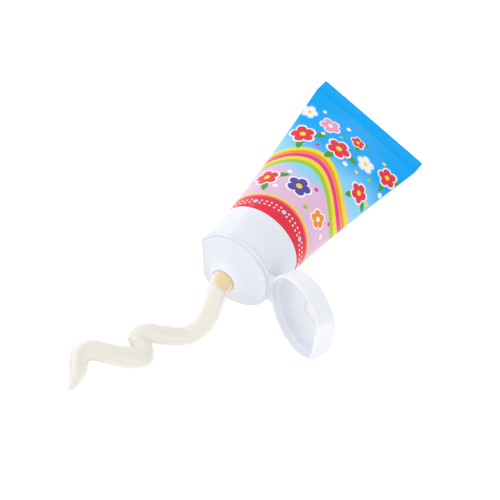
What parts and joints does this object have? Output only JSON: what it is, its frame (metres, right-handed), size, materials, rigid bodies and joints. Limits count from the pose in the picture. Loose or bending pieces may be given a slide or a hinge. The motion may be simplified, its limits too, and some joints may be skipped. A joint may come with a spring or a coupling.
{
  "type": "toothpaste tube",
  "caption": "Laminate squeeze tube lying on its back, flat end seal, flip-top cap with open lid, bell nozzle and a ribbon of paste.",
  "frame": {"origin": "on the table, under the middle of the bounding box of the tube, open lid and ribbon", "axes": "nozzle towards -Y, end seal at +Y, printed front up (+Z), hinge side towards +X"},
  "size_m": [0.0744, 0.1812, 0.0502],
  "materials": {
    "sleeve_laminate": "glossy printed laminate",
    "head_plastic": "natural moulded plastic",
    "cap_plastic": "smooth white moulding, satin gloss",
    "lid_plastic": "smooth white moulding, satin gloss",
    "strap_plastic": "thin white film hinge",
    "paste_inside": "wet, translucent",
    "paste_outside": "wet, slightly translucent"
  },
  "bodies": {
    "tube": {"tube_sleeve": "sleeve_laminate", "tube_head": "head_plastic", "cap_base": "cap_plastic", "hinge_straps": "strap_plastic", "paste_fill": "paste_inside", "paste_ribbon": "paste_outside"},
    "lid": {"cap_lid": "lid_plastic"}
  },
  "joints": [
    {"name": "lid_hinge", "type": "hinge", "parent": "tube", "child": "lid", "pos_m": [0.00565, -0.01618, 0.02637], "axis": [0.3907, -0.1281, -0.9115], "range_deg": [-25, 155], "deforming": ["hinge_straps", "paste_ribbon"]}
  ]
}
